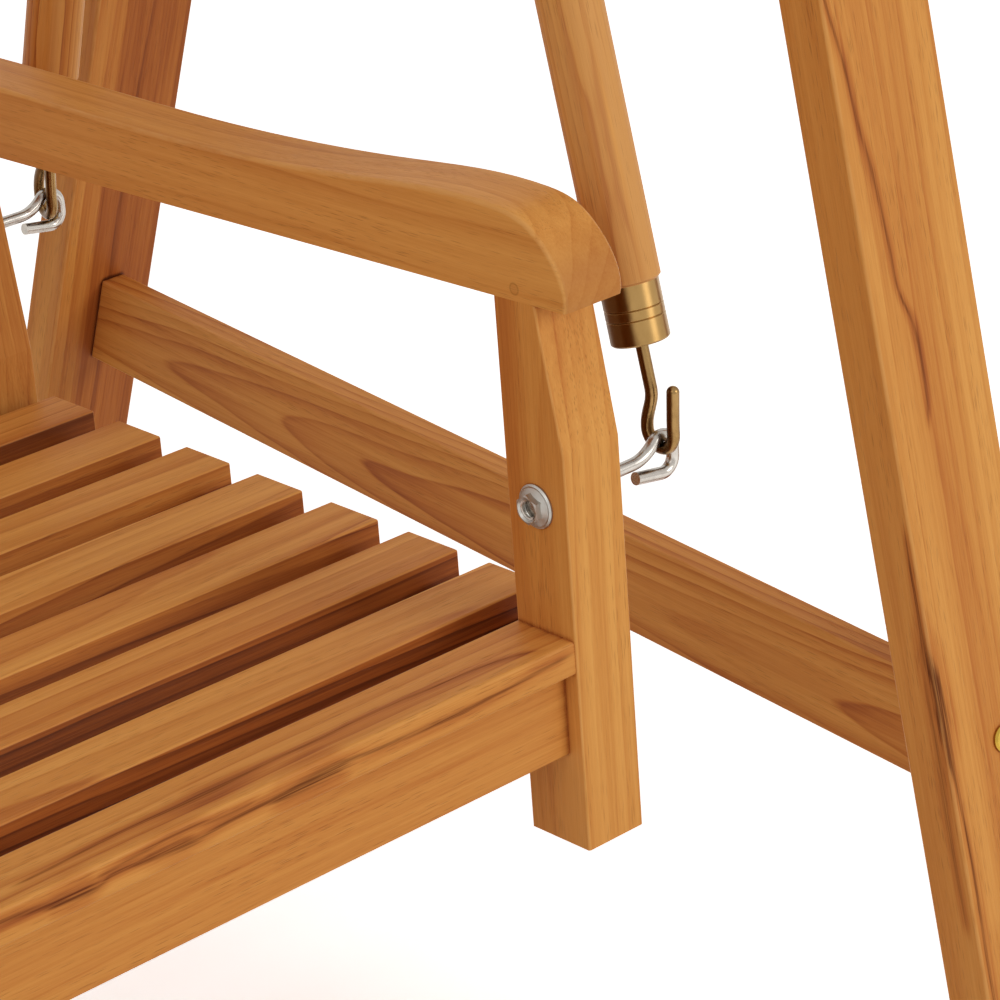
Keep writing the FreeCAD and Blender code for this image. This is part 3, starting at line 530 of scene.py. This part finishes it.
# Dark streaks by board: raggedness, depth, and the path (along, side, other, half width) in millimetres
MARKS = {
    "leg_front_right": (
        (0.5, 0.62, ((-297, -12.5, -14, 0.5), (-267, -9.5, -14, 0.9), (-244, -10.5, -14, 1.0),
                     (-217, -18, -14, 0.8), (-202, -18.5, -14, 0.9), (-163, -21.5, -14, 1.1),
                     (-136, -26, -14, 0.9), (-105, -29, -14, 0.9), (-76, -34, -14, 0.8),
                     (-50, -36, -11, 0.6))),
        (0.8, 1.0, ((-475, -34.5, -14, 0.6), (-455, -35, -14, 2.0), (-440, -35.5, -14, 3.0),
                    (-424, -36, -14, 3.0), (-405, -36.5, -11.5, 2.5), (-392, -36.5, -11, 1.7),
                    (-380, -36.5, -11, 1.1), (-359, -36.5, -10.5, 0.8), (-330, -36.5, -11, 0.5))),
        (0.4, 0.90, ((-660, -31, -14, 0.7), (-576, -33, -14, 0.9), (-508, -32.5, -14, 0.9),
                     (-480, -33.5, -14, 1.1), (-455, -35, -14, 1.4), (-430, -36, -14, 0.9))),
        (0.8, 0.55, ((-560, -36.5, -8, 0.8), (-520, -36.5, -7, 1.2), (-480, -36.5, -7, 1.6),
                     (-467, -36.5, -8, 1.8), (-427, -36.5, -8, 1.2), (-395, -36.5, -8.5, 0.8))),
    ),
    "seat_nosing": (
        (0.5, 0.70, ((430, -19, 5.5, 0.9), (459, -19, 5, 1.2), (477, -19, 3.5, 1.4),
                     (504, -19, 0, 1.2), (517, -19, 3, 1.1), (540, -19, 1, 1.1),
                     (555, -19, 0, 1.2), (575, -19, 2, 1.1), (605, -19, 3, 1.2),
                     (624, -19, 4, 2.2), (634, -19, 4.5, 2.4), (644, -19, 4.5, 1.4),
                     (663, -19, 3, 1.1), (682, -19, 2.5, 1.1), (710, -19, 2, 1.1),
                     (735, -19, 2.5, 0.9), (763, -19, 4, 0.9), (785, -19, 5, 0.8))),
        (0.9, 0.85, ((472, -19, 3.5, 0.5), (488, -19, 2, 2.2), (500, -19, 1, 2.6), (515, -19, 1, 0.6))),
        (0.9, 0.80, ((522, -19, 2.5, 0.5), (540, -19, 2.5, 1.9), (553, -19, 1.5, 2.2), (568, -19, 1, 0.5))),
        (0.9, 0.90, ((592, -19, 2.5, 0.6), (613, -19, 2, 2.6), (632, -19, 3, 3.4), (652, -19, 3.5, 0.8))),
        (0.5, 0.62, ((470, -6, 9, 0.8), (499, -5, 9, 0.9), (521, -3.5, 9, 1.1),
                     (544, -2.5, 9, 1.2), (565, -3.5, 9, 1.8), (578, -3, 9, 2.7),
                     (590, -2.5, 9, 2.2), (612, -1.5, 9, 1.1), (645, -2, 9, 0.9),
                     (663, -1, 9, 0.9), (714, -3, 9, 0.9), (748, -6, 9, 0.9),
                     (771, -16, 10, 0.8))),
        (0.7, 0.50, ((500, -18.5, 4, 0.7), (531, -18.5, 6.5, 0.9), (556, -18.5, 8, 1.1),
                     (573, -18.5, 5.5, 0.9), (600, -18.5, 6.5, 0.7))),
    ),
}
# Broad soft bands by board: amount darker, and the path as above
BANDS = {
    "leg_front_right": (
        (0.16, ((-640, 2, -14, 5.0), (-540, 5.5, -14, 5.5), (-417, 4.5, -14, 5.5), (-363, 2, -14, 5.0),
                (-332, -4.5, -14, 4.0), (-304, -9, -14, 3.0), (-270, -11, -14, 2.0))),
        (-0.28, ((-560, -22, -14, 5.0), (-460, -23, -14, 6.0), (-380, -26, -14, 6.0),
                 (-300, -27, -14, 5.0), (-180, -31, -14, 4.0))),
    ),
    "seat_nosing": (
        # Painted highlight: this band, lighter by 0.42, runs along the nosing's front arris
        (-0.42, ((430, -18, 7.5, 3.0), (505, -18, 7.5, 4.2), (560, -18, 7.5, 4.6), (620, -17.5, 8, 4.2),
                 (690, -17.5, 8, 3.8), (760, -18, 8, 2.5))),
        (0.15, ((440, 2, 9, 5.0), (520, 6, 9, 6.0), (600, 8, 9, 6.5), (690, 6, 9, 6.0),
                (790, 2, 9, 5.0))),
    ),
}
# Plug over the screw that holds each armrest: centre and radius, millimetres
PLUGS = {"armrest_right": (-218.4, -17.4, 7.9, 2.6), "armrest_left": (-218.4, 17.4, 7.9, 2.6)}
# Darker or lighter wood beyond a line: axis across, its place, softness, wander, slope, amount darker
HEART = {
    "leg_front_right": ((1, 0.0165, 0.0006, 0.006, 0.0, -0.30),),
    "leg_rear_right": ((1, -0.0155, 0.0012, 0.012, 0.0, 0.54), (1, -0.0290, 0.0016, 0.010, 0.0, 0.20)),
    "post_front_right": ((2, 0.0030, 0.0009, 0.004, 0.010, 0.24),),
}


def dress():
    """Puts each node's material on its slots."""
    # The last colour given for the ferrule and the hook is a painted dark reflection on one side.
    ferrule = metal("brass_satin", "a88551", "8e6c3d", 0.30, 900.0, 0.6 * MM, 0.30, 0.05, 0.05, "5e4124",
                    turned_finish=True)
    hook = metal("brass_aged", "9b7b4d", "6b4b28", 0.22, 1300.0, 0.6 * MM, 0.40, 0.06, 0.08, "553719")
    bolt = metal("brass_bright", "c7a243", "93722c", 0.24, 1300.0, 0.5 * MM, 0.40, 0.06, 0.08)
    nut = metal("zinc_plate", "b4b1aa", "96938c", 0.38, 1500.0, 0.5 * MM, 0.45, 0.08, 0.08)
    wire = metal("zinc_wire", "b9b2a9", "938c84", 0.20, 1500.0, 0.5 * MM, 0.45, 0.06, 0.08)
    for name, obj in nodes.items():
        if name in WOODS:
            made = wood(name)
        elif name.startswith("hanger_ferrules"):
            made = ferrule
        elif name.startswith("hanger_hooks"):
            made = hook
        elif name.startswith("leg_bolts"):
            made = bolt
        elif "nut" in name:
            made = nut
        else:
            made = wire
        for slot in obj.material_slots:
            slot.material = made


def thread_ridge(name, mouth, axis, material):
    """Helical ridge of the thread in a nut's bore, from the mouth inwards, against the axis."""
    u = axis.orthogonal().normalized()
    w = axis.cross(u)
    turns = THREAD_LENGTH / THREAD_PITCH
    steps = int(turns * STEPS_PER_TURN)
    # Inwards from the bore, and along it as a share of the pitch
    section = ((0.0, -0.42), (-THREAD_DEPTH, -0.08), (-THREAD_DEPTH, 0.08), (0.0, 0.42))
    points, faces = [], []
    for i in range(steps + 1):
        share = i / steps
        turn = 2 * math.pi * turns * share
        grow = min(1.0, THREAD_RUN_IN * share, THREAD_RUN_IN * (1 - share))
        for inwards, along in section:
            at = mouth - axis * (THREAD_LENGTH * share) + axis * (along * THREAD_PITCH)
            points.append(at + (u * math.cos(turn) + w * math.sin(turn)) * (BORE_RADIUS + inwards * grow))
    for i in range(steps):
        for k in range(3):
            a = 4 * i + k
            faces.append((a, a + 1, a + 5, a + 4))
        faces.append((4 * i + 3, 4 * i, 4 * i + 4, 4 * i + 7))
    faces += [(3, 2, 1, 0), tuple(4 * steps + k for k in range(4))]
    mesh = bpy.data.meshes.new(name)
    mesh.from_pydata([tuple(p) for p in points], [], faces)
    for polygon in mesh.polygons:
        polygon.use_smooth = False
    mesh.materials.append(material)
    obj = bpy.data.objects.new(name, mesh)
    scene.collection.objects.link(obj)
    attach(obj, "swing")


def threads():
    """A thread ridge in each hook nut, which sits on its post's inner face."""
    material = metal("zinc_thread", "d2cec6", "8a867f", 0.25, 1500.0, 0.2 * MM, 0.30, 0.08, 0.08)
    for end in ("front_left", "front_right", "rear_left", "rear_right"):
        low, high = (Vector(c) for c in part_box("hook_nut_" + end))
        outwards = -X if "right" in end else X
        face = low.x if "right" in end else high.x
        mouth = Vector((face, (low.y + high.y) / 2, (low.z + high.z) / 2)) - outwards * THREAD_INSET
        thread_ridge("nut_thread_" + end, mouth, outwards, material)


def surroundings():
    """White world. Camera, glossy and transmission rays see it at 1, and it lights the object at AMBIENT."""
    world = bpy.data.worlds.new("world")
    scene.world = world
    world.use_nodes = True
    t = Tree(world.node_tree)
    world.node_tree.nodes.clear()
    seen = t.seen()
    level = t.math("MULTIPLY_ADD", seen, 1.0 - AMBIENT, AMBIENT)
    tint = t.mix(seen, AMBIENT_COLOUR, (1.0, 1.0, 1.0, 1.0))
    back = t.node("ShaderNodeBackground", {"Color": tint, "Strength": level})
    t.feed(t.node("ShaderNodeOutputWorld").inputs[0], back.outputs[0])


def floor():
    """Pale floor. Its own colour makes it white to the camera, and it keeps the object's shadow."""
    mesh = bpy.data.meshes.new("floor")
    corners = [(x * FLOOR_HALF, y * FLOOR_HALF, 0) for x, y in ((-1, -1), (1, -1), (1, 1), (-1, 1))]
    mesh.from_pydata(corners, [], [(0, 1, 2, 3)])
    obj = bpy.data.objects.new("floor", mesh)
    scene.collection.objects.link(obj)
    made = bpy.data.materials.new("floor")
    made.use_nodes = True
    t = Tree(made.node_tree)
    made.node_tree.nodes.clear()
    shader = t.node("ShaderNodeBsdfDiffuse", {"Color": t.mix(t.seen(), FLOOR_LIT, FLOOR_SEEN)})
    t.feed(t.node("ShaderNodeOutputMaterial").inputs[0], shader.outputs[0])
    mesh.materials.append(made)


def lamps():
    """Soft round lamps aimed at the object. A lamp's level is the brightness it gives a white face."""
    for name, (towards, size, level) in LAMPS.items():
        towards = towards.normalized()
        data = bpy.data.lights.new(name, "AREA")
        data.shape = "DISK"
        data.size = size
        data.energy = level * math.pi * math.pi * LAMP_DISTANCE ** 2
        obj = bpy.data.objects.new(name, data)
        scene.collection.objects.link(obj)
        obj.location = LAMP_AIM + towards * LAMP_DISTANCE
        obj.rotation_euler = towards.to_track_quat("Z", "Y").to_euler()


camera()
TEAK = teak_group()
dress()
threads()
surroundings()
floor()
lamps()
scene.view_settings.view_transform = "Standard"
